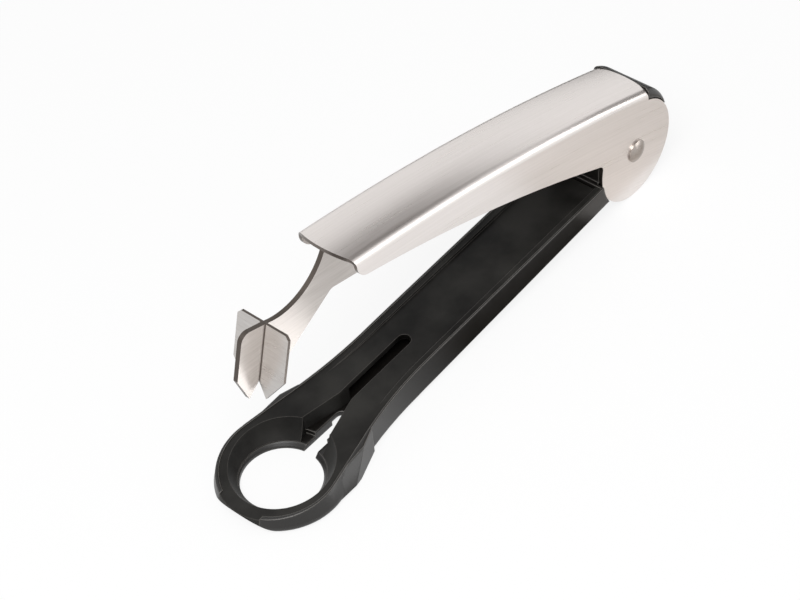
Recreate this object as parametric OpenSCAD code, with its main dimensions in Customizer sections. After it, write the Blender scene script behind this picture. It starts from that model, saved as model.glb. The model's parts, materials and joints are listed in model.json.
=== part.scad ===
// Plum pitter: a steel lever with a cross of four blades, hinged on a black arm with a plum cup.
// The frame: X along the tool with the hinge at the +X end, Y across it, Z up from the table.

/* [Hinge] */
// Radius of the round cheeks at the handle's rear end
cheek_r = 18; // [17:0.5:20]
// Gap between a cheek's round edge and the arm's side wall
cheek_gap = 0.5; // [0.3:0.1:1]
// Diameter of the hinge rivet's shank
rivet_d = 5; // [4:0.25:6]
// Diameter of the rivet's heads
rivet_head_d = 7.8; // [7.2:0.2:9]
// Height of each rivet head
rivet_head_h = 1.8; // [1.4:0.1:2.2]
// Height of the straight rim below each head's dome
rivet_rim_h = 0.5; // [0.3:0.1:0.7]
// Wall of the steel spacer sleeve round the rivet
sleeve_wall = 1.1; // [0.8:0.1:1.5]
// Wall of the plastic hinge bushes
bush_wall = 1.5; // [1:0.1:2]
// Length of each bush inside the knuckle
bush_len = 6; // [4:0.5:8]
// Thickness of each bush's flange
bush_flange_t = 0.5; // [0.4:0.1:0.8]
// Width of each bush's flange past the bush
bush_flange_w = 2.4; // [1.6:0.2:3]
// Gap between each bush's flange and the cheek beside it
flange_gap = 0.1; // [0.05:0.05:0.2]
// Radial clearance of the round fits in the hinge
round_fit = 0.05; // [0.02:0.01:0.1]
// Gap between the knuckle's round top and the handle's sheet
knuckle_gap = 0.4; // [0.35:0.05:1]
// Wall of the knuckle's rim and hub, and thickness of its middle web
knuckle_wall = 3; // [2:0.5:4]
// How far the knuckle's round end lies inside the cheeks' edge
knuckle_inset = 0.4; // [0.2:0.1:0.8]
// Extra fall of the knuckle's crowned top at its sides
knuckle_ease = 0.3; // [0.2:0.1:0.5]
// Radius of the round cap behind the handle's top sheet, seen from the side
cap_r = 19.9; // [19.6:0.1:20.4]
// How far the cap reaches behind the cheeks' round edge
cap_over = 0.1; // [0:0.05:0.2]
// Gap between the cap and the top sheet's rear edge, which the cap stops when the handle is open
cap_gap = 0.3; // [0.25:0.05:0.5]
// Radius of the cap's round ends
cap_corner_r = 2.2; // [1.6:0.1:3]
// Height above the hinge's axis at which the cap's sides over the cheeks' edges end
cap_side_z = 8.4; // [7.8:0.2:10]

/* [Handle] */
// Width of the handle
handle_w = 22; // [20:0.5:24]
// Thickness of the handle's steel sheet
sheet_t = 1.2; // [0.8:0.1:1.5]
// Outer radius of the bends along the handle
bend_r = 3; // [2.4:0.2:4]
// Radius of the crowned top, across the handle
crown_r = 51; // [40:1:80]
// Radius of the arched back, along the handle
arch_r = 790; // [700:10:900]
// Slope of the arched back above the hinge, in degrees
handle_angle = 18.7; // [18:0.1:20]
// Height of the back above the hinge's axis
handle_rise = 23.3; // [23:0.1:25]
// Distance from the hinge's axis to the handle's front edge
handle_reach = 131.5; // [126:0.5:134]
// Radius of the front edge, seen from above
front_edge_r = 25; // [20:1:40]
// Distance from the hinge's axis to the top sheet's rear edge
rear_edge_x = 8; // [7:0.25:9]
// Radius of the top sheet's rear edge, seen from above
rear_edge_r = 55; // [40:5:100]
// Depth of the rear edge's foot on the walls below the cheeks' top
rear_edge_drop = 0.8; // [0.5:0.1:1]
// Depth of the side walls next to the cheeks
wall_depth_rear = 21.6; // [20:0.2:23]
// Distance from the hinge's axis at which the rear depth is taken
wall_rear_x = 25.7; // [24:0.1:28]
// Depth of the side walls at the front edge
wall_depth_front = 8; // [6.5:0.25:9]
// Radius of the side walls' lower edge, seen from the side
wall_arch_r = 600; // [500:10:800]
// Radius of the inner corner where a wall meets its cheek
cheek_fillet_r = 2.5; // [1.5:0.25:3]
// Radius of the lower front corner of each wall
front_corner_r = 5.5; // [4:0.25:6]

/* [Neck and blades] */
// Thickness of the neck plate
neck_t = 1.6; // [1.2:0.1:2]
// Distance from the hinge's axis to the top of the blade cross
blade_x = 156; // [154:0.25:158]
// Height of the blade cross's top above the hinge's axis
blade_z = 46; // [45:0.25:47]
// Tilt of the blade cross at rest, tips forward, in degrees
blade_tilt = 17.8; // [16:0.2:20]
// Radius of the blade cross
blade_r = 9.6; // [8.5:0.1:10.5]
// Thickness of the two side blades
side_blade_t = 1; // [0.8:0.1:1.4]
// Depth of the blades' outer edge
blade_edge_depth = 15.5; // [13:0.25:17]
// Depth of the blades' points
blade_tip_depth = 23.5; // [22:0.25:25]
// Distance of each point from the middle of the cross
blade_tip_r = 3.9; // [3:0.1:5]
// Depth of the notch between the points
blade_notch_depth = 18; // [16.5:0.25:19]
// Radius of the front blade's top corner
front_blade_corner_r = 3; // [2:0.25:4]
// Cut of the side blades' top corners
side_blade_corner = 1.2; // [0.8:0.1:2]
// Depth of the swan neck's upper curve below the line between its ends
neck_throat_depth = 5; // [4.5:0.1:6]
// Distance of the kink in the neck's lower edge behind the handle's front edge
neck_kink_back = 1.1; // [0:0.1:2.5]
// Depth of that kink below the handle's back
neck_kink_drop = 16.9; // [16.2:0.1:17.8]
// Radius of that kink
neck_kink_r = 3; // [2:0.25:4]
// How far the neck's lower edge meets the rear blade below its outer edge's depth
neck_meet_drop = 1; // [0.5:0.1:1.5]
// How far the neck's upper edge starts below and behind the handle's front edge
neck_shoulder = 0.6; // [0.4:0.1:1]
// Length of the neck plate behind the handle's front edge
neck_foot_len = 31.5; // [28:0.5:33]
// Depth of the neck plate's rear foot below the handle's back
neck_foot_drop = 18.5; // [17:0.25:19.5]
// How far the neck plate's rear end leans forwards
neck_lean = 1; // [0.5:0.25:2]
// Thickness of the angle brackets that hold the neck plate
angle_t = 1.2; // [1:0.1:1.5]
// Length of the angle brackets
angle_len = 16; // [14:0.5:17]
// Width of each angle bracket's flange
angle_flange_w = 5.5; // [4:0.25:6.5]
// Height of each angle bracket's leg
angle_leg_h = 9; // [8:0.25:10]
// Gap between each bracket and what it is welded or riveted to
seat_gap = 0.05; // [0.02:0.01:0.1]
// Diameter of the two small rivets through the brackets
small_rivet_d = 2.4; // [2:0.1:3]
// Diameter of the small rivets' heads
small_rivet_head_d = 4; // [3.6:0.1:4.4]
// Height of the small rivets' heads
small_rivet_head_h = 0.7; // [0.5:0.1:1]
// Distance of the small rivets from the lower edge of the brackets' legs
small_rivet_edge = 3.2; // [2.6:0.1:3.6]
// Distance between the two small rivets
small_rivet_pitch = 9; // [8:0.5:10]

/* [Arm] */
// Width of the arm's straight part
arm_w = 23.9; // [23:0.1:24.6]
// Distance from the hinge's axis at which the arm starts to widen
arm_straight_x = 123; // [119:1:126]
// Radius of the blend between the straight part and its taper, seen from above
taper_blend_r = 150; // [80:5:200]
// Depth of the arm's rim below the hinge's axis, at the hinge
rim_drop = 1.1; // [0.8:0.1:1.6]
// Slope of the arm's rim, in degrees
rim_tilt = 2.4; // [2:0.1:2.8]
// Distance from the hinge's axis at which the rim starts to curve down
rim_curve_x = 97.5; // [90:0.5:104]
// Radius of the rim's downward curve, seen from the side
rim_curve_r = 780; // [700:10:900]
// Depth of the arm's underside below the hinge's axis, at the hinge
arm_depth_rear = 8.7; // [8.2:0.1:9.4]
// Depth of the arm's underside below the hinge's axis, at the cup
arm_depth_front = 16.4; // [15.8:0.1:16.6]
// Distance from the hinge's axis at which the underside becomes level
arm_level_x = 112; // [106:1:118]
// Wall of the outer shell
shell_wall = 1.6; // [1.2:0.1:2]
// Thickness of the outer shell's floor
floor_t = 1.8; // [1.4:0.1:2.2]
// Width of the shell's bare rim outside the liner
ledge_w = 0.6; // [0.5:0.05:0.8]
// Depth of the step in the shell's wall that the liner's border sits on
rabbet_h = 1.2; // [1:0.1:1.6]
// Width of the liner's raised border
border_w = 1.8; // [1.4:0.1:2.2]
// Depth of the inner deck below the border, at the hinge
deck_drop = 1.4; // [1:0.1:1.8]
// Distance from the hinge's axis at which the deck runs out into the border
deck_front_x = 128; // [122:1:131]
// Distance from the cheeks' round edge to the liner's rear end
deck_end = 1.2; // [1:0.1:2]
// Gap between the liner and the shell round it
liner_gap = 0.15; // [0.1:0.05:0.3]
// Thickness of the liner's deck
deck_t = 2; // [1.6:0.1:2.6]
// Thickness of the liner's skirt walls
skirt_t = 1.3; // [1:0.1:1.8]
// Solid stretch of the liner behind the place where the slot widens
liner_block = 4; // [3:0.5:6]
// Diameter of the liner screws' shanks
screw_d = 2.5; // [2:0.1:3]
// Diameter of the liner screws' heads
screw_head_d = 5; // [4.4:0.2:5.6]
// Height of the liner screws' heads
screw_head_h = 1.5; // [1.2:0.1:1.8]
// How far the screw heads lie inside the underside
screw_sink = 0.3; // [0.2:0.1:0.5]
// Gap round each screw head
screw_head_gap = 0.2; // [0.1:0.05:0.3]
// Width of each screw's six-sided drive, corner to corner
screw_drive_d = 2.5; // [2:0.1:3]
// Depth of each screw's drive
screw_drive_h = 0.8; // [0.6:0.1:1]
// Length of the liner screws under the head
screw_len = 4.5; // [4:0.25:4.75]
// Gap past the end of each screw
screw_tip_gap = 0.5; // [0.3:0.1:0.6]
// Wall of the shell's pads round the screw heads
screw_pad_wall = 1.8; // [1.4:0.1:2]
// Wall of the liner's bosses round the screws
screw_boss_wall = 2; // [1.4:0.1:2.4]
// Distance from the hinge's axis to the rear liner screw
screw_rear_x = 56; // [52:1:62]
// Distance from the hinge's axis to the front liner screw
screw_front_x = 88; // [80:1:94]

/* [Cup] */
// Distance from the hinge's axis to the middle of the cup
cup_x = 159.8; // [158.4:0.1:161]
// Outer radius of the cup at its base
cup_r = 20.9; // [20.5:0.1:21.4]
// Lean of the cup's wall towards its rim, in degrees
cup_lean = 14; // [12:0.5:15]
// Radius of the cup's lower outer edge
cup_edge_r = 2; // [1:0.1:2]
// Width of the cup's straight foot, behind its middle
foot_w = 39.8; // [39:0.1:40.4]
// Length of the foot's straight stretch
foot_len = 10.4; // [9.6:0.1:11]
// Length of the foot's taper to the arm
foot_taper_len = 14; // [12:0.5:16]
// Angle of that taper, in degrees
foot_taper = 20.7; // [19:0.1:22]
// Lean of the foot's sides, in degrees
foot_lean = 20; // [18:0.5:22]
// Width and height of the bevel on the foot's lower edges
foot_bevel = 1.4; // [1:0.1:1.8]
// Distance from the hinge's axis at which the underside starts to sweep up to the lip
spoon_x = 171.8; // [171:0.1:172.4]
// Radius of the underside's upward sweep
spoon_r = 9; // [8.6:0.1:9.6]
// Depth of the liner's border below the shell's rim
lip_drop = 0.3; // [0.2:0.05:0.5]
// Width of the liner's tongue that forms the front lip
tongue_w = 16; // [13:0.5:18]
// Radius of the bowl
bowl_r = 17.2; // [16.8:0.1:17.4]
// Depth of the bowl's middle below the hinge's axis
bowl_drop = 5.2; // [5:0.1:5.8]
// Radius of the pit hole
pit_hole_r = 12.5; // [12:0.1:13.2]
// Distance from the hinge's axis to the middle of the pit hole
pit_hole_x = 160.4; // [159.4:0.2:161.4]
// Width of the slot that takes the neck plate
slot_w = 4.6; // [4.2:0.1:5.4]
// Room behind the neck plate's rear foot in the slot, with the handle closed
slot_rear_gap = 3.5; // [2.5:0.1:4]
// Room behind the neck plate's kink in the floor's slot, with the handle closed
floor_slot_gap = 4.9; // [4:0.1:6]
// Length over which the slot widens to the bowl
slot_flare_len = 12; // [10:0.2:13]
// Width of the slot where it opens into the bowl
slot_mouth_w = 11; // [9:0.5:13]
// How far the slot's mouth reaches past the bowl's wall
slot_mouth_in = 1; // [0.5:0.25:1.5]

/* [Hidden] */
$fn = 96;

// Room past a face for a clean cut
eps = 0.5;
// More than the tool's size, for cutting shapes
far_out = 300;
// How far a blend's circle or a side runs into what it meets, so that they cross cleanly
bite = 0.02;

// The hinge's axis in the tool's frame, whose origin is under the middle of the tool
handle_inner_w = handle_w - 2 * sheet_t;
knuckle_w = handle_inner_w - 2 * (bush_flange_t + flange_gap);
back_dir = [sin(handle_angle), cos(handle_angle)];
back_centre = [0, handle_rise] - arch_r * back_dir;
knuckle_r = handle_rise * cos(handle_angle) - sheet_t - knuckle_gap;
cup_base_z = -cheek_r;

// The cap is flush with the handle's back at the rear edge and reaches just behind the cheeks
cap_centre_x = cheek_r + cap_over - cap_r;
cap_centre = [cap_centre_x, handle_rise - (cap_r + cap_centre_x * back_dir[0]) / back_dir[1]];

// The front lip's lower corner, where the cup's leaning wall meets the spoon-like sweep of its underside
spoon_centre = [-spoon_x, cup_base_z + spoon_r - bite];
wall_up = [sin(cup_lean), cos(cup_lean)];
wall_to_spoon = spoon_centre - [-cup_x - cup_r, cup_base_z];
spoon_off = wall_to_spoon * wall_to_spoon - pow(wall_to_spoon * wall_up, 2);
lip_rise = wall_to_spoon * wall_up - sqrt(pow(spoon_r, 2) - spoon_off);
lip_x = cup_x + cup_r - lip_rise * sin(cup_lean);
pivot_x = (lip_x - cheek_r - cap_over) / 2;
pivot_z = cheek_r;

// Round fits in the hinge, from the rivet outwards
rivet_r = rivet_d / 2;
rivet_bore_r = rivet_r + round_fit;
sleeve_r = rivet_bore_r + sleeve_wall;
bush_bore_r = sleeve_r + round_fit;
bush_r = bush_bore_r + bush_wall;
bush_seat_r = bush_r + round_fit;
hub_r = bush_seat_r + knuckle_wall;
knuckle_side_drop = crown_r - sqrt(pow(crown_r, 2) - pow(knuckle_w / 2, 2)) + knuckle_ease;
knuckle_low_r = cheek_r - knuckle_inset;

// The knuckle's raised sector under the top sheet, as angles round the hinge's axis
knuckle_low_angle = 58;
knuckle_high_angle = 118;

// The handle's back, and the neck plate's kink and rear foot below it, seen from the side
function back_z(d) = back_centre[1] + sqrt(pow(arch_r, 2) - pow(-d - back_centre[0], 2));
neck_kink = [neck_kink_back - handle_reach, back_z(handle_reach) - neck_kink_drop];
neck_foot = [neck_foot_len - handle_reach, back_z(handle_reach - neck_foot_len) - neck_foot_drop];

// Where the slot for the neck plate starts in the deck and in the floor, and where it starts to widen
slot_rear_x = norm(neck_foot) - slot_rear_gap;
floor_slot_x = norm(neck_kink) - floor_slot_gap;
slot_flare_x = cup_x - bowl_r - slot_flare_len;

// Lines along the arm: the underside, the rim and the deck at a distance from the hinge
function underside_z(d) =
    -arm_depth_rear - (arm_depth_front - arm_depth_rear) * min(d, arm_level_x) / arm_level_x;
rim_curve = [-rim_curve_x, -rim_drop - rim_curve_x * tan(rim_tilt)];
rim_centre = rim_curve - rim_curve_r * [-sin(rim_tilt), cos(rim_tilt)];
function rim_z(d) = d < rim_curve_x ? -rim_drop - d * tan(rim_tilt)
    : rim_centre[1] + sqrt(pow(rim_curve_r, 2) - pow(d + rim_centre[0], 2));
deck_rear_x = cheek_r + deck_end;
deck_rear_z = rim_z(deck_rear_x) - lip_drop - deck_drop;
deck_rate = (rim_z(deck_front_x) - lip_drop - deck_rear_z) / (deck_front_x - deck_rear_x);
function deck_z(d) = deck_rear_z + deck_rate * (d - deck_rear_x);

// The taper from the straight arm runs along a tangent to a circle just inside the cup's wall
taper_run = cup_x - arm_straight_x;
cup_rim_r = cup_r - (rim_z(cup_x) - cup_base_z) * tan(cup_lean);
taper_r = cup_rim_r - bite;
taper_angle = asin(taper_r / norm([taper_run, arm_w / 2])) - atan(arm_w / 2 / taper_run);

// Points of a round stretch from angle a to angle b
function polar(r, a) = r * [cos(a), sin(a)];
function arc(c, r, a, b, n = 24) = [for (i = [0:n]) c + polar(r, a + (b - a) * i / n)];
// The two crossings of two circles lie on this line; side picks one of them
function crossing(c1, r1, c2, r2, side) =
    let (v = c2 - c1, d = norm(v), u = v / d, a = (d * d + r1 * r1 - r2 * r2) / (2 * d))
    c1 + a * u + side * sqrt(r1 * r1 - a * a) * [-u[1], u[0]];
function angle_of(v) = atan2(v[1], v[0]);

// The top sheet's rear edge on the walls: its place along the handle and the height of its foot
rear_side_x = rear_edge_x - rear_edge_r + sqrt(pow(rear_edge_r, 2) - pow(handle_w / 2, 2));
rear_edge_z = cheek_r - rear_edge_drop;

// The lower edge of the handle's walls, seen from the side
wall_rear = [-wall_rear_x, back_z(wall_rear_x) - wall_depth_rear];
wall_front_x = handle_reach - front_edge_r + sqrt(pow(front_edge_r, 2) - pow(handle_w / 2, 2));
wall_front = [-wall_front_x, back_z(wall_front_x) - wall_depth_front];
wall_centre = crossing(wall_rear, wall_arch_r, wall_front, wall_arch_r, 1);
corner_x = -wall_front_x + front_corner_r - bite;
corner_rise = sqrt(pow(wall_arch_r + front_corner_r - bite, 2) - pow(corner_x - wall_centre[0], 2));
front_corner = [corner_x, wall_centre[1] + corner_rise];
fillet_reach = cheek_fillet_r - bite;
fillet_centre = crossing([0, 0], cheek_r + fillet_reach, wall_centre, wall_arch_r - fillet_reach, -1);

// The blade cross: depth runs along its axis, out runs forwards across it
blade_down = [-sin(blade_tilt), -cos(blade_tilt)];
blade_out = [-cos(blade_tilt), sin(blade_tilt)];
blade_top = [-blade_x, blade_z];
function blade_pt(depth, out) = blade_top + depth * blade_down + out * blade_out;

// Seat of the angle brackets under the handle's sheet
neck_top_x = neck_lean - neck_foot[0];
angle_front_x = neck_top_x + angle_len;
small_rivet_depth = sheet_t + angle_leg_h - small_rivet_edge;
screw_bore_r = screw_d / 2 + round_fit;
screw_head_seat = screw_head_h + screw_sink;
screw_pad_h = screw_head_seat + floor_t;

// Places a piece drawn round the hinge's axis
module at_hinge() {
    translate([pivot_x, 0, pivot_z]) children();
}

// Extrudes an outline seen from the side across the tool
module across(w) {
    rotate([90, 0, 0]) linear_extrude(w, center = true) children();
}

// Turns an outline of radius and width about an axis across the tool
module turned(c = [0, 0]) {
    translate([c[0], 0, c[1]]) rotate([90, 0, 0]) rotate_extrude($fn = 720) children();
}

// A round bar across the tool
module bar(r, w) {
    rotate([90, 0, 0]) cylinder(r = r, h = w, center = true);
}

// The arm seen from above as far as the middle of the cup, drawn in by inset
module arm_plan(inset = 0) {
    half = arm_w / 2 - inset;
    r = taper_r - inset;
    start = -arm_straight_x - inset * tan(taper_angle / 2);
    touch = [-cup_x + r * sin(taper_angle), r * cos(taper_angle)];
    blend_r = taper_blend_r + inset;
    blend_run = blend_r * tan(taper_angle / 2);
    blend_end = [start - blend_run * cos(taper_angle), half + blend_run * sin(taper_angle)];
    difference() {
        union() {
            translate([start, -half]) square([-start, 2 * half]);
            polygon([[start, half], touch, [-cup_x, 0], [touch[0], -touch[1]], [start, -half]]);
            for (side = [0, 1])
                mirror([0, side]) polygon([[start + blend_run, half], [start, half - eps], blend_end]);
        }
        for (side = [0, 1])
            mirror([0, side])
                translate([start + blend_run, half + blend_r - bite]) circle(blend_r, $fn = 360);
    }
}

// What lies under the spoon-like sweep of the cup's front, seen from the side
module under_sweep(inset = 0) {
    difference() {
        translate([-far_out, cup_base_z - eps]) square([far_out - spoon_x, spoon_r]);
        translate(spoon_centre) circle(spoon_r - inset, $fn = 128);
    }
}

// The space above the rim, which slopes and then curves down to the lip, drawn down by drop
module over_rim(drop = 0) {
    r = rim_curve_r - drop;
    translate(rim_centre) rotate(rim_tilt) {
        translate([0, r]) square(far_out);
        difference() {
            translate([-far_out, 0]) square([far_out, r + far_out]);
            circle(r - bite, $fn = 720);
        }
    }
}

// The space above the deck
module over_deck() {
    polygon([
        [far_out, far_out], [far_out, deck_z(-far_out)], [-far_out, deck_z(far_out)], [-far_out, far_out]
    ]);
}

// The cup's outer body as radius and height, with its leaning wall and round lower edge
module cup_section() {
    edge_x = cup_r - cup_edge_r * tan(cup_lean) - cup_edge_r / cos(cup_lean);
    top_r = cup_r - cheek_r * tan(cup_lean);
    polygon([
        [0, 0], [edge_x, 0], [edge_x, cup_edge_r] + cup_edge_r * [cos(cup_lean), sin(cup_lean)],
        [top_r, cheek_r], [0, cheek_r]
    ]);
    translate([edge_x, cup_edge_r]) circle(cup_edge_r - bite, $fn = 48);
}

// The cup's foot behind its middle: straight leaning sides that taper to the arm
module cup_foot() {
    half = foot_w / 2;
    end = half - foot_taper_len * tan(foot_taper);
    top = half - (cheek_r - foot_bevel) * tan(foot_lean);
    run = foot_len + foot_taper_len;
    intersection() {
        linear_extrude(cheek_r)
            polygon([[0, -half], [foot_len, -half], [run, -end], [run, end], [foot_len, half], [0, half]]);
        rotate([90, 0, 90]) linear_extrude(run) polygon([
            [foot_bevel - half, 0], [half - foot_bevel, 0], [half, foot_bevel], [top, cheek_r],
            [-top, cheek_r], [-half, foot_bevel]
        ]);
    }
}

// The body of the arm and cup up past the rim, drawn in by inset and with its floor raised by lift
module arm_body(inset = 0, lift = 0) {
    difference() {
        union() {
            intersection() {
                translate([0, 0, -far_out / 2]) linear_extrude(far_out) arm_plan(inset);
                across(far_out) polygon([
                    [0, far_out], [0, underside_z(0) + lift], [-arm_level_x, underside_z(arm_level_x) + lift],
                    [-far_out, underside_z(far_out) + lift], [-far_out, far_out]
                ]);
            }
            translate([-cup_x, 0, cup_base_z + lift]) {
                if (inset > 0) cylinder(r = cup_rim_r - inset, h = cheek_r);
                else {
                    rotate_extrude() cup_section();
                    cup_foot();
                }
            }
        }
        across(far_out) under_sweep(inset);
    }
}

// A band of the arm's body along its rim, drawn in by inset and reaching drop below the rim
module rim_band(inset, drop) {
    intersection() {
        arm_body(inset);
        across(far_out) over_rim(drop);
        translate([-far_out - deck_rear_x, -far_out / 2, -far_out / 2]) cube(far_out);
    }
}

// The slot for the neck plate, seen from above, with w the width of its straight part
module neck_slot(rear_x, w) {
    translate([-rear_x - w / 2, 0]) circle(w / 2, $fn = 48);
    translate([-cup_x, -w / 2]) square([cup_x - rear_x - w / 2, w]);
}

// The hollow that a plum and its pit go through
module bowl_hollow() {
    translate([-cup_x, 0, -bowl_drop]) sphere(bowl_r);
    translate([-cup_x, 0, -bowl_drop]) cylinder(r = bowl_r, h = cheek_r);
    translate([-pit_hole_x, 0, -2 * cheek_r]) cylinder(r = pit_hole_r, h = 2 * cheek_r);
}

// Room for the two cheeks beside the knuckle
module cheek_room() {
    for (side = [-1, 1])
        translate([0, side * (knuckle_w + arm_w) / 2, 0]) bar(cheek_r + cheek_gap, arm_w);
}

// The cap that carries on the handle's round back behind its top sheet and covers the cheeks' upper edges
module knuckle_cap() {
    half = handle_w / 2;
    flat = half - cap_corner_r;
    difference() {
        turned(cap_centre) polygon(concat(
            [[0, -half]], arc([cap_r - cap_corner_r, -flat], cap_corner_r, -90, 0, 6),
            arc([cap_r - cap_corner_r, flat], cap_corner_r, 0, 90, 6), [[0, half]]
        ));
        translate([rear_edge_x - rear_edge_r, 0, -far_out / 2])
            cylinder(r = rear_edge_r + cap_gap, h = far_out, $fn = 256);
        cheek_room();
        for (side = [-1, 1])
            translate([-far_out / 2, side * (knuckle_w + arm_w) / 2 - arm_w / 2, cap_side_z - far_out])
                cube([far_out, arm_w, far_out]);
    }
}

// The knuckle between the cheeks: rim, hub and web, with a raised crowned top and the cap behind it
module knuckle() {
    across_r = (pow(knuckle_w / 2, 2) + pow(knuckle_side_drop, 2)) / (2 * knuckle_side_drop);
    sector = arc([0, 0], 2 * knuckle_r, knuckle_low_angle, knuckle_high_angle, 3);
    bar(knuckle_low_r, knuckle_w);
    knuckle_cap();
    intersection() {
        turned() intersection() {
            translate([0, -knuckle_w / 2]) square([knuckle_r + eps, knuckle_w]);
            translate([knuckle_r - across_r, 0]) circle(across_r, $fn = 128);
        }
        across(knuckle_w) polygon(concat([[0, 0]], sector));
    }
}

// Pockets on both sides of the knuckle, which leave its rim, hub and web
module knuckle_pockets() {
    depth = (knuckle_w - knuckle_wall) / 2;
    for (side = [-1, 1])
        translate([0, side * (knuckle_w - depth + eps) / 2, 0]) difference() {
            bar(knuckle_low_r - knuckle_wall, depth + eps);
            bar(hub_r, depth + 2 * eps);
        }
}

module lower_shell() {
    color("#26241f") at_hinge() difference() {
        union() {
            difference() {
                arm_body();
                across(far_out) over_rim();
                intersection() {
                    arm_body(shell_wall, floor_t);
                    translate([-far_out - deck_rear_x, -far_out / 2, -far_out / 2]) cube(far_out);
                }
                rim_band(ledge_w, lip_drop + rabbet_h);
                cheek_room();
            }
            knuckle();
            for (d = [screw_rear_x, screw_front_x])
                translate([-d, 0, underside_z(d)])
                    cylinder(d = screw_head_d + 2 * screw_pad_wall, h = screw_pad_h);
        }
        knuckle_pockets();
        bar(bush_seat_r, far_out);
        for (d = [screw_rear_x, screw_front_x])
            translate([-d, 0, underside_z(d)]) {
                translate([0, 0, -eps])
                    cylinder(d = screw_head_d + 2 * screw_head_gap, h = screw_head_seat + eps);
                cylinder(r = screw_bore_r, h = screw_pad_h + eps);
            }
        translate([0, 0, -far_out / 2]) linear_extrude(far_out / 2) neck_slot(floor_slot_x, slot_w);
        bowl_hollow();
        tongue_room(tongue_w);
    }
}

// The stretch of the cup's front that the liner's tongue takes up, w wide
module tongue_room(w) {
    translate([-far_out - cup_x - bowl_r / 2, -w / 2, -far_out / 2]) cube([far_out, w, far_out]);
}

module cup_liner() {
    inset = shell_wall + liner_gap;
    lift = floor_t + liner_gap;
    mouth_x = -cup_x + bowl_r - slot_mouth_in;
    color("#161616") at_hinge() difference() {
        union() {
            difference() {
                union() {
                    arm_body(inset, lift);
                    rim_band(ledge_w + liner_gap, lip_drop + rabbet_h - liner_gap);
                    intersection() {
                        arm_body();
                        tongue_room(tongue_w - 2 * liner_gap);
                    }
                }
                across(far_out) over_rim(lip_drop);
                intersection() {
                    translate([0, 0, -far_out / 2]) linear_extrude(far_out)
                        arm_plan(ledge_w + liner_gap + border_w);
                    across(far_out) over_deck();
                }
                translate([-deck_rear_x - liner_gap, -far_out / 2, -far_out / 2]) cube(far_out);
                liner_hollow();
            }
            for (d = [screw_rear_x, screw_front_x])
                translate([-d, 0, underside_z(d) + screw_pad_h + liner_gap])
                    cylinder(
                        d = screw_d + 2 * screw_boss_wall,
                        h = deck_z(d) - underside_z(d) - screw_pad_h - deck_t / 2
                    );
        }
        for (d = [screw_rear_x, screw_front_x])
            translate([-d, 0, underside_z(d)])
                cylinder(r = screw_bore_r, h = screw_head_seat + screw_len + screw_tip_gap);
        translate([0, 0, -far_out / 2]) linear_extrude(far_out) neck_slot(slot_rear_x, slot_w);
        translate([0, 0, -far_out / 2]) linear_extrude(far_out) polygon([
            [-slot_flare_x, slot_w / 2], [-slot_flare_x, -slot_w / 2],
            [mouth_x, -slot_mouth_w / 2], [-cup_x, 0], [mouth_x, slot_mouth_w / 2]
        ]);
        bowl_hollow();
    }
}

// The hollow under the liner's deck, inside its skirt
module liner_hollow() {
    front_x = slot_flare_x - liner_block;
    intersection() {
        translate([0, 0, -far_out / 2]) linear_extrude(far_out) arm_plan(shell_wall + liner_gap + skirt_t);
        across(far_out) polygon([
            [-deck_rear_x - skirt_t, deck_z(deck_rear_x + skirt_t) - deck_t],
            [-deck_rear_x - skirt_t, -far_out], [-front_x, -far_out], [-front_x, deck_z(front_x) - deck_t]
        ]);
    }
}

module liner_screws() {
    color("#8c8c8c") at_hinge() for (d = [screw_rear_x, screw_front_x])
        translate([-d, 0, underside_z(d) + screw_head_seat]) difference() {
            union() {
                translate([0, 0, -screw_head_h]) cylinder(d = screw_head_d, h = screw_head_h);
                cylinder(d = screw_d, h = screw_len);
            }
            translate([0, 0, -screw_head_h - eps])
                cylinder(d = screw_drive_d, h = screw_drive_h + eps, $fn = 6);
        }
}

// A flanged bush on one side of the knuckle
module bush(side) {
    color("#d8d4c8") at_hinge() difference() {
        union() {
            translate([0, side * (knuckle_w - bush_len) / 2, 0]) bar(bush_r, bush_len);
            translate([0, side * (knuckle_w + bush_flange_t) / 2, 0])
                bar(bush_r + bush_flange_w, bush_flange_t);
        }
        bar(bush_bore_r, far_out);
    }
}

module near_bush() {
    bush(-1);
}

module far_bush() {
    bush(1);
}

// The handle's crowned channel section as radius and width, drawn in by inset
module channel_section(inset = 0) {
    half = handle_w / 2 - inset;
    corner = bend_r - inset;
    crown = crown_r - inset;
    middle = arch_r - crown_r;
    corner_y = handle_w / 2 - bend_r;
    corner_x = middle + sqrt(pow(crown_r - bend_r, 2) - pow(corner_y, 2));
    touch_y = corner_y * crown / (crown_r - bend_r);
    low = arch_r - far_out;
    intersection() {
        translate([middle, 0]) circle(crown, $fn = 256);
        translate([corner_x, -touch_y]) square([far_out, 2 * touch_y]);
    }
    for (side = [-1, 1])
        translate([corner_x, side * corner_y]) circle(corner, $fn = 48);
    translate([low, -half]) square([corner_x - low, 2 * half]);
}

// The handle's wall and cheek, seen from the side
module handle_side() {
    touch_cheek = cheek_r * fillet_centre / norm(fillet_centre);
    to_fillet = fillet_centre - wall_centre;
    touch_wall = wall_centre + wall_arch_r * to_fillet / norm(to_fillet);
    difference() {
        union() {
            circle(cheek_r, $fn = 128);
            handle_wall();
            polygon([
                touch_cheek, [0, 0], [0, cheek_r], touch_wall + [0, cheek_fillet_r], touch_wall, fillet_centre
            ]);
        }
        translate(fillet_centre) circle(cheek_fillet_r, $fn = 48);
    }
}

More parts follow.
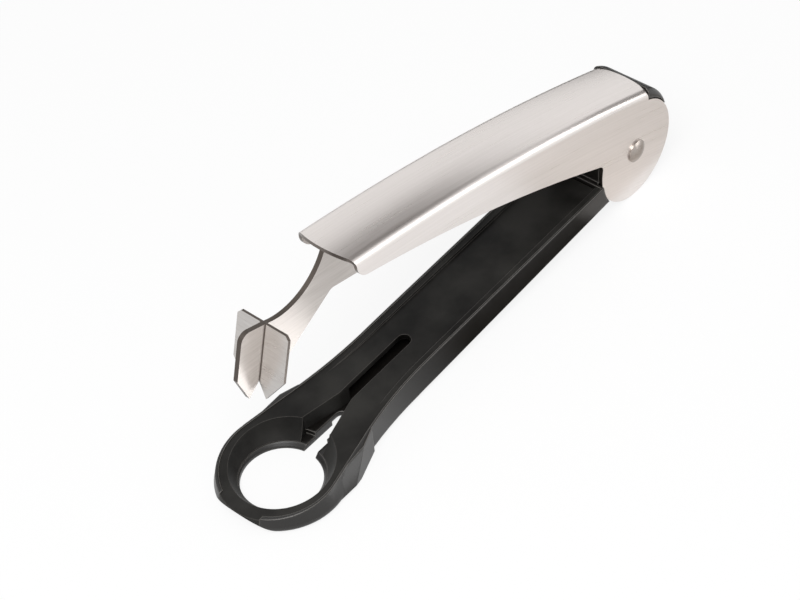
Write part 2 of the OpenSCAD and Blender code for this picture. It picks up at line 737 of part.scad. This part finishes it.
// The handle's wall without its cheek, seen from the side
module handle_wall() {
    difference() {
        union() {
            translate([-handle_reach, 0]) square([handle_reach + rear_side_x, 2 * handle_reach]);
            translate([0, rear_edge_z]) square([rear_edge_x, 2 * handle_reach]);
        }
        translate(wall_centre) circle(wall_arch_r, $fn = 720);
        difference() {
            translate(front_corner - [handle_w, handle_w]) square([handle_w, handle_w]);
            translate(front_corner) circle(front_corner_r, $fn = 48);
            translate(wall_centre) circle(wall_arch_r, $fn = 720);
        }
    }
}

// The handle seen from above at its front edge
module handle_plan() {
    translate([-handle_reach + front_edge_r, 0]) circle(front_edge_r, $fn = 128);
    translate([-handle_reach + front_edge_r, -handle_w]) square([far_out, 2 * handle_w]);
}

// What lies behind the top sheet's rear edge
module behind_rear_edge() {
    translate([0, 0, rear_edge_z]) linear_extrude(far_out) difference() {
        translate([0, -handle_w]) square([far_out, 2 * handle_w]);
        translate([rear_edge_x - rear_edge_r, 0]) circle(rear_edge_r, $fn = 256);
    }
}

module handle_shell() {
    color("#cfcac4") at_hinge() difference() {
        intersection() {
            turned(back_centre) channel_section();
            across(handle_w + 2 * eps) handle_side();
            translate([0, 0, -far_out / 2]) linear_extrude(far_out) handle_plan();
        }
        turned(back_centre) channel_section(sheet_t);
        behind_rear_edge();
        bar(rivet_bore_r, far_out);
    }
}

// The swan neck with the front and rear blades, seen from the side
module neck_outline() {
    shoulder = [-handle_reach + neck_shoulder, back_z(handle_reach) - sheet_t - neck_shoulder];
    throat_r = (pow(norm(shoulder - blade_top) / 2, 2) + pow(neck_throat_depth, 2)) / (2 * neck_throat_depth);
    throat = crossing(blade_top, throat_r, shoulder, throat_r, 1);
    corner = blade_pt(front_blade_corner_r, blade_r - front_blade_corner_r);
    turn = angle_of(blade_out);
    meet = blade_pt(blade_edge_depth + neck_meet_drop, -blade_r);
    foot_side = angle_of(neck_foot - neck_kink) + 90;
    meet_side = angle_of(neck_kink - meet) + 90;
    kink_half = (meet_side - foot_side) / 2;
    kink_centre = neck_kink - polar(neck_kink_r / cos(kink_half), foot_side + kink_half);
    polygon(concat(
        [neck_foot],
        arc(kink_centre, neck_kink_r, foot_side, meet_side, 12),
        [meet, blade_pt(blade_tip_depth, -blade_tip_r)],
        [blade_pt(blade_notch_depth, 0), blade_pt(blade_tip_depth, blade_tip_r)],
        [blade_pt(blade_edge_depth, blade_r)],
        arc(corner, front_blade_corner_r, turn, turn - 90, 8),
        arc(throat, throat_r, angle_of(blade_top - throat), angle_of(shoulder - throat)),
        [[shoulder[0], 2 * handle_reach], [-neck_top_x, 2 * handle_reach]]
    ));
}

module neck_plate() {
    color("#d6d2cc") at_hinge() difference() {
        across(neck_t) intersection() {
            neck_outline();
            translate(back_centre) circle(arch_r - sheet_t - seat_gap, $fn = 720);
        }
        small_rivet_holes();
    }
}

// Where the small rivets pass, under the sheet and along it
module small_rivet_places() {
    middle = neck_top_x + angle_len / 2;
    for (d = [middle - small_rivet_pitch / 2, middle + small_rivet_pitch / 2])
        translate([-d, 0, back_z(d) - small_rivet_depth]) children();
}

module small_rivet_holes() {
    small_rivet_places() bar(small_rivet_d / 2 + round_fit, far_out);
}

// A side blade seen along the tool
module side_blade(side) {
    inner = neck_t / 2;
    inner_depth = blade_notch_depth + (blade_tip_depth - blade_notch_depth) * inner / blade_tip_r;
    color("#d6d2cc") at_hinge() translate([-blade_x, 0, blade_z]) rotate([0, blade_tilt, 0])
        rotate([90, 0, 90]) linear_extrude(side_blade_t, center = true) polygon([
            [side * inner, 0], [side * (blade_r - side_blade_corner), 0],
            [side * blade_r, -side_blade_corner], [side * blade_r, -blade_edge_depth],
            [side * blade_tip_r, -blade_tip_depth], [side * inner, -inner_depth]
        ]);
}

module near_blade() {
    side_blade(-1);
}

module far_blade() {
    side_blade(1);
}

// The space next to the neck plate along an angle bracket, w wide
module beside_neck(side, w) {
    translate([-angle_front_x, side * (neck_t / 2 + seat_gap + w / 2) - w / 2, 0])
        cube([angle_len, w, far_out]);
}

// An angle bracket between the neck plate and the handle's sheet
module angle_bracket(side) {
    color("#bdb8b0") at_hinge() difference() {
        intersection() {
            difference() {
                turned(back_centre) channel_section(sheet_t + seat_gap);
                difference() {
                    turned(back_centre) channel_section(sheet_t + seat_gap + angle_t);
                    beside_neck(side, angle_t);
                }
            }
            beside_neck(side, angle_flange_w);
            across(handle_w) difference() {
                translate([-far_out, 0]) square(far_out);
                translate(back_centre) circle(arch_r - sheet_t - angle_leg_h, $fn = 720);
            }
        }
        small_rivet_holes();
    }
}

module near_angle() {
    angle_bracket(-1);
}

module far_angle() {
    angle_bracket(1);
}

module bracket_rivets() {
    grip = neck_t + 2 * (angle_t + 2 * seat_gap);
    color("#c4c0ba") at_hinge() small_rivet_places() {
        bar(small_rivet_d / 2, grip + 2 * small_rivet_head_h);
        for (side = [-1, 1])
            translate([0, side * (grip + small_rivet_head_h) / 2, 0])
                bar(small_rivet_head_d / 2, small_rivet_head_h);
    }
}

module hinge_sleeve() {
    color("#b4b4b4") at_hinge() difference() {
        bar(sleeve_r, handle_inner_w);
        bar(rivet_bore_r, far_out);
    }
}

// One domed head of the rivet, seen as radius and height above the cheek
module rivet_head_section() {
    head_r = rivet_head_d / 2;
    dome = rivet_head_h - rivet_rim_h;
    dome_r = (pow(head_r, 2) + pow(dome, 2)) / (2 * dome);
    square([head_r, rivet_rim_h]);
    intersection() {
        translate([0, rivet_head_h - dome_r]) circle(dome_r, $fn = 128);
        translate([0, rivet_rim_h / 2]) square([head_r, rivet_head_h]);
    }
}

module hinge_rivet() {
    color("#b9b4ae") at_hinge() {
        bar(rivet_r, handle_w + rivet_head_h);
        for (side = [-1, 1])
            rotate([-90 * side, 0, 0]) translate([0, 0, handle_w / 2])
                rotate_extrude() rivet_head_section();
    }
}

lower_shell();
cup_liner();
liner_screws();
near_bush();
far_bush();
handle_shell();
neck_plate();
near_blade();
far_blade();
near_angle();
far_angle();
bracket_rivets();
hinge_sleeve();
hinge_rivet();
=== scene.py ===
import json
from math import acos, asin, atan2, cos, degrees, radians, sin, sqrt

import bmesh
import bpy
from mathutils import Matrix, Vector
from mathutils.geometry import tessellate_polygon


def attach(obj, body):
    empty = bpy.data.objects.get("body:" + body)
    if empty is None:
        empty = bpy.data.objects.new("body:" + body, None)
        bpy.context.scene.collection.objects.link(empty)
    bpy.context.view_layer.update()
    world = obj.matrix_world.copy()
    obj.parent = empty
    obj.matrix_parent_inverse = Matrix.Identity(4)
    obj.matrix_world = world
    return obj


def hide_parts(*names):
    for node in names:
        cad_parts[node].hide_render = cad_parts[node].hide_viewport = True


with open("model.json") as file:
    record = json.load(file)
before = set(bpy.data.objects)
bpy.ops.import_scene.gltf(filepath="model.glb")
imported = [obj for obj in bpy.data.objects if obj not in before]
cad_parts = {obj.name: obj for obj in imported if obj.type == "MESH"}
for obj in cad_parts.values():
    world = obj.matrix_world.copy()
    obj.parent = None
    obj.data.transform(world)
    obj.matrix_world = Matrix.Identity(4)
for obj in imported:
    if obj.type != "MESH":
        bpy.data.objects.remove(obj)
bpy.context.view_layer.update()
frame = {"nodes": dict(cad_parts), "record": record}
nodes = frame["nodes"]
scene = bpy.context.scene
MM = 0.001

# The hinge's axis, and the arch of the handle's back in mm from it
hinge = Vector(frame["record"]["behaviour"]["joints"][0]["pos_m"])
ARCH_R = 790
ARCH_RISE = 23.3
ARCH_SLOPE = radians(18.7)
arch_x, arch_z = -ARCH_R * sin(ARCH_SLOPE), ARCH_RISE - ARCH_R * cos(ARCH_SLOPE)
arch_middle = hinge + MM * Vector((arch_x, 0, arch_z))

# The two ways that the steel's grain runs: along the handle's mean slope, and across the tool
HANDLE_SLOPE = radians(13.8)
ALONG = (-cos(HANDLE_SLOPE), 0, sin(HANDLE_SLOPE))
ACROSS = (0, 1, 0)


def linear(hex_colour):
    """An sRGB hex colour as a linear RGBA value."""
    values = [int(hex_colour[i:i + 2], 16) / 255 for i in (1, 3, 5)]
    return [v / 12.92 if v <= 0.04045 else ((v + 0.055) / 1.055) ** 2.4 for v in values] + [1.0]


def add(tree, kind, sockets=None, stops=None, **settings):
    """Adds a shader node with its properties and two ramp stops, and fills its sockets."""
    made = tree.nodes.new("ShaderNode" + kind)
    for name, value in settings.items():
        setattr(made, name, value)
    if stops:
        for element, (place, colour) in zip(made.color_ramp.elements, stops):
            element.position, element.color = place, linear(colour)
    for socket, value in (sockets or {}).items():
        if isinstance(value, bpy.types.NodeSocket):
            tree.links.new(value, made.inputs[socket])
        else:
            made.inputs[socket].default_value = value
    return made


def surface(name):
    """A new empty material, its node tree and its output node."""
    made = bpy.data.materials.new(name)
    made.use_nodes = True
    made.node_tree.nodes.clear()
    return made, made.node_tree, add(made.node_tree, "OutputMaterial")


def arch_place(tree):
    """Places measured along the handle's arch, across it, and out from the arch's middle."""
    out_from = add(tree, "VectorMath", {
        0: add(tree, "TexCoord").outputs["Object"], 1: arch_middle}, operation="SUBTRACT").outputs[0]
    side = add(tree, "SeparateXYZ", {0: out_from}).outputs
    turn = add(tree, "Math", {0: side["X"], 1: side["Z"]}, operation="ARCTAN2").outputs[0]
    run = add(tree, "Math", {0: turn, 1: ARCH_R * MM}, operation="MULTIPLY").outputs[0]
    flat = add(tree, "VectorMath", {0: out_from, 1: (1, 0, 1)}, operation="MULTIPLY").outputs[0]
    reach = add(tree, "VectorMath", {0: flat}, operation="LENGTH").outputs["Value"]
    return add(tree, "CombineXYZ", {"X": run, "Y": side["Y"], "Z": reach}).outputs[0]


# The part of a noise's values that a tone or a roughness is spread over
LOW, HIGH = 0.35, 0.65
# The steel's broader bands of tone: their pitch as a part of the scratches' pitch, and their share
BAND_PITCH, BAND_SHARE = (0.4, 0.1, 0.1), 0.4
# Half the width of the painted shade in the joint along the blades' middle plate, in mm, and where it has
# faded out
JOINT_SHADE_HALF, JOINT_SHADE_FADED = 1.0, 1.3


def brushed_steel(name, tones, line_mm, run_mm, roughness, relief_mm, grain, cut=None, joint_shade=False):
    """Steel with fine scratches along its grain, which spread each reflection across them.

    cut gives the darker tone drawn on its edges, the direction that tells them from its faces, and the two
    amounts of facing that direction between which the tone comes in. The last argument adds a painted shade
    line where a blade meets the middle plate, in the same dark tone.
    """
    made, tree, out = surface(name)
    place = arch_place(tree)
    pitch = [1 / ((run_mm if abs(part) > 0.5 else line_mm) * MM) for part in grain]
    lines_at = add(tree, "VectorMath", {0: place, 1: pitch}, operation="MULTIPLY").outputs[0]
    lines = add(tree, "TexNoise", {
        "Vector": lines_at, "Scale": 1.0, "Detail": 3.0, "Roughness": 0.6}).outputs["Fac"]
    bands_at = add(tree, "VectorMath", {0: lines_at, 1: BAND_PITCH}, operation="MULTIPLY").outputs[0]
    bands = add(tree, "TexNoise", {"Vector": bands_at, "Scale": 1.0, "Detail": 2.0}).outputs["Fac"]
    blend = add(tree, "Mix", {"Factor": BAND_SHARE, "A": lines, "B": bands}).outputs["Result"]
    colour = add(tree, "ValToRGB", {0: blend}, stops=[(LOW, tones[0]), (HIGH, tones[1])]).outputs["Color"]
    rough = add(tree, "MapRange", {
        "Value": blend, "From Min": LOW, "From Max": HIGH,
        "To Min": roughness[0], "To Max": roughness[1]}).outputs["Result"]
    if cut:
        edge_tone, edge_side, none, full = cut
        facing = add(tree, "VectorTransform", {0: add(tree, "NewGeometry").outputs["Normal"]},
                     vector_type="NORMAL", convert_from="WORLD", convert_to="OBJECT").outputs[0]
        towards = add(tree, "VectorMath", {0: facing, 1: edge_side}, operation="DOT_PRODUCT").outputs["Value"]
        dark_edges_and_joint_shade = add(tree, "MapRange", {
            "Value": add(tree, "Math", {0: towards}, operation="ABSOLUTE").outputs[0],
            "From Min": none, "From Max": full}).outputs["Result"]
        # Painted shade in the gap where a blade meets the middle plate, in the edges' dark tone
        if joint_shade:
            from_middle = add(tree, "Math", {
                0: add(tree, "SeparateXYZ", {0: place}).outputs["Y"]}, operation="ABSOLUTE").outputs[0]
            joint_shade_line = add(tree, "MapRange", {
                "Value": from_middle, "From Min": JOINT_SHADE_FADED * MM,
                "From Max": JOINT_SHADE_HALF * MM}).outputs["Result"]
            dark_edges_and_joint_shade = add(tree, "Math", {0: dark_edges_and_joint_shade, 1: joint_shade_line}, operation="MAXIMUM").outputs[0]
        colour = add(tree, "Mix", {6: colour, 7: linear(edge_tone), 0: dark_edges_and_joint_shade}, data_type="RGBA").outputs[2]
    tangent = add(tree, "VectorTransform", {0: grain}, vector_type="VECTOR",
                  convert_from="OBJECT", convert_to="WORLD").outputs[0]
    bump = add(tree, "Bump", {"Height": lines, "Strength": 0.3, "Distance": relief_mm * MM}).outputs["Normal"]
    shader = add(tree, "BsdfPrincipled", {
        "Base Color": colour, "Metallic": 1.0, "Roughness": rough, "Anisotropic": 0.6,
        "Anisotropic Rotation": 0.25, "Tangent": tangent, "Normal": bump})
    tree.links.new(shader.outputs[0], out.inputs[0])
    return made


# Width of the highlight painted along a plastic piece's arrises in mm, and how far its surface turns there
ARRIS = 0.4
ARRIS_STARTS, ARRIS_FULL = 0.98, 0.86


def moulded_plastic(name, tones, edge_tone, gloss, roughness, grit_mm, relief_mm, cloud_mm, edge_mm):
    """Moulded plastic with the mould's fine grit, soft cloudy gloss, round edges, and a highlight painted in
    edge_tone along its arrises.
    """
    made, tree, out = surface(name)
    place = add(tree, "TexCoord").outputs["Object"]
    grit = add(tree, "TexNoise", {"Vector": place, "Scale": 1 / (grit_mm * MM), "Detail": 2.0}).outputs["Fac"]
    cloud = add(tree, "TexNoise", {
        "Vector": place, "Scale": 1 / (cloud_mm * MM), "Detail": 4.0}).outputs["Fac"]
    tone = add(tree, "ValToRGB", {0: cloud}, stops=[(LOW, tones[0]), (HIGH, tones[1])]).outputs["Color"]
    rough = add(tree, "MapRange", {
        "Value": cloud, "From Min": LOW, "From Max": HIGH,
        "To Min": roughness[0], "To Max": roughness[1]}).outputs["Result"]
    edge = add(tree, "Bevel", {"Radius": edge_mm * MM}, samples=8).outputs[0]
    arris = add(tree, "Bevel", {"Radius": ARRIS * MM}, samples=8).outputs[0]
    turned = add(tree, "VectorMath", {
        0: arris, 1: add(tree, "NewGeometry").outputs["Normal"]}, operation="DOT_PRODUCT").outputs["Value"]
    # A painted highlight: edge_tone comes in where the surface turns at an arris
    painted_arris_highlight = add(tree, "MapRange", {
        "Value": turned, "From Min": ARRIS_STARTS, "From Max": ARRIS_FULL}).outputs["Result"]
    colour = add(tree, "Mix", {6: tone, 7: linear(edge_tone), 0: painted_arris_highlight}, data_type="RGBA").outputs[2]
    bump = add(tree, "Bump", {
        "Height": grit, "Strength": 0.4, "Distance": relief_mm * MM, "Normal": edge}).outputs["Normal"]
    shader = add(tree, "BsdfPrincipled", {
        "Base Color": colour, "Roughness": rough, "IOR": 1.5, "Specular IOR Level": gloss, "Normal": bump})
    tree.links.new(shader.outputs[0], out.inputs[0])
    return made


# The steel's real scratches and the plastic's real grit are finer than a pixel, so in every finish below they
# are drawn about half a millimetre wide to show.

# Stainless sheet brushed by a belt along its arch: a warm pale grey with long fine streaks. The front edge
# was cut and is drawn darker.
handle_steel = brushed_steel(
    "stainless_steel_belt_brushed", ("#e1dbd7", "#ebe5e2"), line_mm=0.45, run_mm=30,
    roughness=(0.27, 0.33), relief_mm=0.008, grain=ALONG, cut=("#6f6863", (1, 0, 0), 0.75, 0.9))
# Stainless plate stamped out and lightly brushed: a soft mid grey, with dark sheared edges all round
neck_steel = brushed_steel(
    "stainless_steel_stamped", ("#b9b3ae", "#cbc5c1"), line_mm=0.5, run_mm=12,
    roughness=(0.28, 0.36), relief_mm=0.008, grain=ALONG, cut=("#5a534e", (0, 1, 0), 0.7, 0.3))
# The same steel ground across its faces to a thin blade: bright faces, edges drawn dark, and painted shade in
# the joint
blade_steel = brushed_steel(
    "stainless_steel_ground", ("#b9b5b2", "#cac7c4"), line_mm=0.5, run_mm=8,
    roughness=(0.26, 0.34), relief_mm=0.008, grain=ACROSS, cut=("#5a534e", (0.97, 0, -0.24), 0.7, 0.3),
    joint_shade=True)
# Stainless wire headed cold: a satin dome, a little darker than the sheet round it
rivet_steel = brushed_steel(
    "stainless_steel_cold_headed", ("#a29a94", "#b4aca6"), line_mm=0.6, run_mm=3,
    roughness=(0.26, 0.34), relief_mm=0.006, grain=ALONG)
# Steel with a thin zinc plating: a dull, slightly cool grey on the hidden fixings
plain_steel = brushed_steel(
    "steel_zinc_plated", ("#9a9893", "#b0aea9"), line_mm=0.6, run_mm=4,
    roughness=(0.4, 0.5), relief_mm=0.008, grain=ALONG)
# In the three plastics below, edge_tone is a highlight painted along the arrises
# ABS moulded in a polished mould: black with a satin gloss that carries soft highlights on its round edges
shell_plastic = moulded_plastic(
    "abs_moulded_satin", ("#100e0c", "#161412"), edge_tone="#6c6863", gloss=0.5,
    roughness=(0.3, 0.36), grit_mm=0.35, relief_mm=0.006, cloud_mm=14, edge_mm=1.0)
# Polypropylene moulded in a spark-eroded mould: black and matt, with a fine grit and pale cloudy patches
liner_plastic = moulded_plastic(
    "polypropylene_moulded_matt", ("#0e0d0c", "#2e2d2b"), edge_tone="#4e4b48", gloss=0.14,
    roughness=(0.36, 0.56), grit_mm=0.45, relief_mm=0.03, cloud_mm=20, edge_mm=0.4)
# Acetal moulded in its natural colour: a milky, slightly waxy white
bush_plastic = moulded_plastic(
    "acetal_moulded_natural", ("#cfc9bb", "#d9d3c6"), edge_tone="#e2ddd2", gloss=0.5,
    roughness=(0.4, 0.5), grit_mm=0.4, relief_mm=0.01, cloud_mm=8, edge_mm=0.2)

finishes = {
    "lower_shell": shell_plastic, "cup_liner": liner_plastic, "liner_screws": plain_steel,
    "near_bush": bush_plastic, "far_bush": bush_plastic, "handle_shell": handle_steel,
    "neck_plate": neck_steel, "near_blade": blade_steel, "far_blade": blade_steel,
    "near_angle": plain_steel, "far_angle": plain_steel, "bracket_rivets": plain_steel,
    "hinge_sleeve": plain_steel, "hinge_rivet": rivet_steel}
for name, finish in finishes.items():
    nodes[name].data.materials.clear()
    nodes[name].data.materials.append(finish)

# The handle's sheet in mm from the hinge: its section, its front and rear edges seen from above, and its
# walls and cheeks seen from the side
HANDLE_W, SHEET_T, BEND_R, CROWN_R = 22, 1.2, 3, 51
FRONT_X, FRONT_R = -131.5, 25
REAR_X, REAR_R = 8, 55
CHEEK_R, BORE_R = 18, 2.55
WALL_MIDDLE, WALL_R = (-280.07, -533.5), 600
FILLET_MIDDLE, FILLET_R = (-19.99, 4.45), 2.5
FRONT_CORNER, FRONT_CORNER_R = (-123.45, 51.38), 5.5
# How many straight steps draw each of its curves
ARCH_STEPS, BEND_STEPS, CROWN_STEPS = 120, 16, 20
CHEEK_STEPS, FILLET_STEPS, WALL_STEPS, CORNER_STEPS, BORE_STEPS = 120, 12, 48, 16, 24


def arc(middle, radius, start, end, steps):
    """Points along a round arc between two angles in degrees."""
    turns = [radians(start + (end - start) * i / steps) for i in range(steps + 1)]
    return [(middle[0] + radius * cos(a), middle[1] + radius * sin(a)) for a in turns]


def sheet_section():
    """The crowned channel section from the near wall's top to the far wall's, as radius and width."""
    corner_y = HANDLE_W / 2 - BEND_R
    crown = ARCH_R - CROWN_R
    corner = crown + sqrt((CROWN_R - BEND_R) ** 2 - corner_y ** 2)
    touch = degrees(atan2(corner_y, corner - crown))
    return (arc((corner, -corner_y), BEND_R, -90, -touch, BEND_STEPS)[:-1]
            + arc((crown, 0), CROWN_R, -touch, touch, CROWN_STEPS)
            + arc((corner, corner_y), BEND_R, touch, 90, BEND_STEPS)[1:])


def wall_outline():
    """A wall's lower outline from its rear top corner round the cheek to its front top corner."""
    rear_x = REAR_X - REAR_R + sqrt(REAR_R ** 2 - (HANDLE_W / 2) ** 2)
    to_fillet = degrees(atan2(FILLET_MIDDLE[1], FILLET_MIDDLE[0]))
    from_wall = degrees(atan2(FILLET_MIDDLE[1] - WALL_MIDDLE[1], FILLET_MIDDLE[0] - WALL_MIDDLE[0]))
    to_front = degrees(atan2(FRONT_CORNER[1] - WALL_MIDDLE[1], FRONT_CORNER[0] - WALL_MIDDLE[0]))
    return (arc((0, 0), CHEEK_R, degrees(acos(rear_x / CHEEK_R)), to_fillet - 360, CHEEK_STEPS)
            + arc(FILLET_MIDDLE, FILLET_R, to_fillet - 180, from_wall, FILLET_STEPS)
            + arc(WALL_MIDDLE, WALL_R, from_wall, to_front, WALL_STEPS)[1:]
            + arc(FRONT_CORNER, FRONT_CORNER_R, to_front - 180, -180, CORNER_STEPS)[1:])


def handle_sheet():
    """The handle's bent sheet, whose section runs along the arch and whose walls end in round cheeks."""
    made = bmesh.new()

    def point(x, y, z):
        return made.verts.new(hinge + MM * Vector((x, y, z)))

    rows = []
    for reach, y in sheet_section():
        front = asin((FRONT_X + FRONT_R - sqrt(FRONT_R ** 2 - y ** 2) - arch_x) / reach)
        rear = asin((REAR_X - REAR_R + sqrt(REAR_R ** 2 - y ** 2) - arch_x) / reach)
        turns = [front + (rear - front) * i / ARCH_STEPS for i in range(ARCH_STEPS + 1)]
        rows.append([point(arch_x + reach * sin(a), y, arch_z + reach * cos(a)) for a in turns])
    for low, high in zip(rows, rows[1:]):
        for i in range(ARCH_STEPS):
            made.faces.new((low[i], low[i + 1], high[i + 1], high[i]))
    for y, top in ((-HANDLE_W / 2, rows[0]), (HANDLE_W / 2, rows[-1])):
        edge = top + [point(x, y, z) for x, z in wall_outline()]
        bore = [point(x, y, z) for x, z in arc((0, 0), BORE_R, 0, 360, BORE_STEPS)[:-1]]
        corners = edge + bore
        for face in tessellate_polygon([[v.co for v in edge], [v.co for v in bore]]):
            made.faces.new([corners[i] for i in face])
    bmesh.ops.recalc_face_normals(made, faces=made.faces)
    bmesh.ops.solidify(made, geom=made.faces[:], thickness=SHEET_T * MM)
    bmesh.ops.recalc_face_normals(made, faces=made.faces)
    sheet = bpy.data.meshes.new("handle_sheet")
    made.to_mesh(sheet)
    made.free()
    sheet.shade_smooth()
    sheet.set_sharp_from_angle(angle=radians(35))
    sheet.materials.append(handle_steel)
    piece = bpy.data.objects.new("handle_sheet", sheet)
    scene.collection.objects.link(piece)
    piece.modifiers.new("flat_walls", "WEIGHTED_NORMAL").keep_sharp = True
    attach(piece, "lever")
    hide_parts("handle_shell")


handle_sheet()

# The camera of the photograph
lens = bpy.data.cameras.new("camera")
lens.sensor_width = 36
lens.lens = 97.54
camera = bpy.data.objects.new("camera", lens)
camera.location = (-0.33922, -0.32215, 0.48962)
camera.rotation_euler = (radians(44.212), radians(4.799), radians(-49.437))
scene.collection.objects.link(camera)
scene.camera = camera
scene.view_settings.view_transform = "Standard"


def card(name, finish, size, place, aim):
    """A flat rectangle of the studio, whose front faces a point."""
    across, up = size[0] / 2, size[1] / 2
    corners = [(-across, -up, 0), (across, -up, 0), (across, up, 0), (-across, up, 0)]
    sheet = bpy.data.meshes.new(name)
    sheet.from_pydata(corners, [], [(0, 1, 2, 3)])
    sheet.materials.append(finish)
    made = bpy.data.objects.new(name, sheet)
    made.location = place
    made.rotation_euler = (Vector(aim) - Vector(place)).to_track_quat("Z", "Y").to_euler()
    scene.collection.objects.link(made)
    return made


def seen_rays(tree, in_view, mirrored):
    """The share of plain white for rays from the camera, and for those that come by way of gloss or glass."""
    rays = add(tree, "LightPath").outputs
    by_way = add(tree, "Math", {
        0: rays["Is Glossy Ray"], 1: rays["Is Transmission Ray"]}, operation="MAXIMUM").outputs[0]
    share = add(tree, "Math", {0: by_way, 1: mirrored}, operation="MULTIPLY").outputs[0]
    straight = add(tree, "Math", {0: rays["Is Camera Ray"], 1: in_view}, operation="MULTIPLY").outputs[0]
    return add(tree, "Math", {0: share, 1: straight}, operation="MAXIMUM").outputs[0]


# A white floor: mostly plain white in view, so that it stays white and still keeps the shadow
FLOOR_IN_VIEW, FLOOR_MIRRORED = 0.85, 0.6
paper, tree, out = surface("white_paper")
lit = add(tree, "BsdfDiffuse", {"Color": linear("#f4f4f4")}).outputs[0]
white = add(tree, "Emission", {"Color": (1, 1, 1, 1), "Strength": 1.0}).outputs[0]
share = seen_rays(tree, FLOOR_IN_VIEW, FLOOR_MIRRORED)
mixed = add(tree, "MixShader", {0: share, 1: lit, 2: white}).outputs[0]
tree.links.new(mixed, out.inputs[0])
card("floor", paper, (6, 6), (0, 0, -0.1 * MM), (0, 0, 1))

# The room: dim for lighting, white where it is seen or mirrored
room = bpy.data.worlds.new("studio")
room.use_nodes = True
tree = room.node_tree
tree.nodes.clear()
dim = add(tree, "Background", {"Color": (1, 1, 1, 1), "Strength": 0.45}).outputs[0]
white = add(tree, "Background", {"Color": (1, 1, 1, 1), "Strength": 1.0}).outputs[0]
mixed = add(tree, "MixShader", {0: seen_rays(tree, 1, 1), 1: dim, 2: white}).outputs[0]
tree.links.new(mixed, add(tree, "OutputWorld").inputs[0])
scene.world = room

tool_middle = (0, 0, 0.04)


def on_table(x, y, height_mm):
    """A place just above the floor, and the point over it that something lying there faces."""
    return (x, y, height_mm * MM), (x, y, 1)


def flag(name, colour, size, place, aim, thins=None):
    """A cloth that only gloss shows, turning from clear to dense between the two places of thins along x."""
    cloth, tree, out = surface(name + "_cloth")
    weave = add(tree, "BsdfDiffuse", {"Color": linear(colour)}).outputs[0]
    if thins:
        along = add(tree, "SeparateXYZ", {0: add(tree, "NewGeometry").outputs["Position"]}).outputs["X"]
        dense = add(tree, "MapRange", {
            "Value": along, "From Min": thins[0], "From Max": thins[1]}).outputs["Result"]
        clear = add(tree, "BsdfTransparent").outputs[0]
        weave = add(tree, "MixShader", {0: dense, 1: clear, 2: weave}).outputs[0]
    tree.links.new(weave, out.inputs[0])
    made = card(name, cloth, size, place, aim)
    made.visible_camera = made.visible_diffuse = made.visible_transmission = made.visible_shadow = False


# Two grey flags behind the tool darken the handle's top towards its near bend
flag("high_flag", "#8c8886", (1.3, 0.62), (0.86, -0.04, 0.93), tool_middle)
flag("end_flag", "#706c6a", (0.6, 0.44), (1.16, -0.24, 0.33), tool_middle)
# A painted shadow: a dark strip on the table beside the arm, seen only in gloss, stands in for the tool's
# shadow there. It keeps the arm's near wall black, and thins out so that the cup's wall is brighter
flag("painted_shadow_strip", "#4a4743", (0.108, 0.014), *on_table(0.009, -0.019, 0.2), thins=(-0.045, -0.005))
# A dark cloth behind the hinge for the cap, and a pale one in front of it for the cheek
flag("rear_flag", "#1c1b1a", (0.9, 0.8), *on_table(0.62, 0.42, 0.2))
flag("hinge_flag", "#dedad6", (0.09, 0.05), *on_table(0.105, -0.04, 0.2))


def softbox(name, place, aim, size, power):
    """A studio light that faces a point."""
    lamp = bpy.data.lights.new(name, "AREA")
    lamp.shape = "RECTANGLE"
    lamp.size, lamp.size_y = size
    lamp.energy = power
    made = bpy.data.objects.new(name, lamp)
    made.location = place
    made.rotation_euler = (Vector(aim) - Vector(place)).to_track_quat("-Z", "Y").to_euler()
    made.visible_camera = False
    scene.collection.objects.link(made)


# The main light from the front, and a low one at the side that draws the bright line along the near bend
softbox("key_softbox", (-0.5, -0.3, 0.9), tool_middle, (0.6, 0.6), 8.5)
softbox("side_softbox", (0.62, -0.66, 0.18), tool_middle, (0.7, 0.2), 1.2)
# Two weak lights lying on the table, mirrored by the blades and by the cup's near wall
softbox("table_softbox", *on_table(-0.16, -0.175, 0.3), (0.23, 0.23), 0.28)
softbox("cup_softbox", *on_table(-0.05, -0.038, 0.4), (0.044, 0.016), 0.0062)
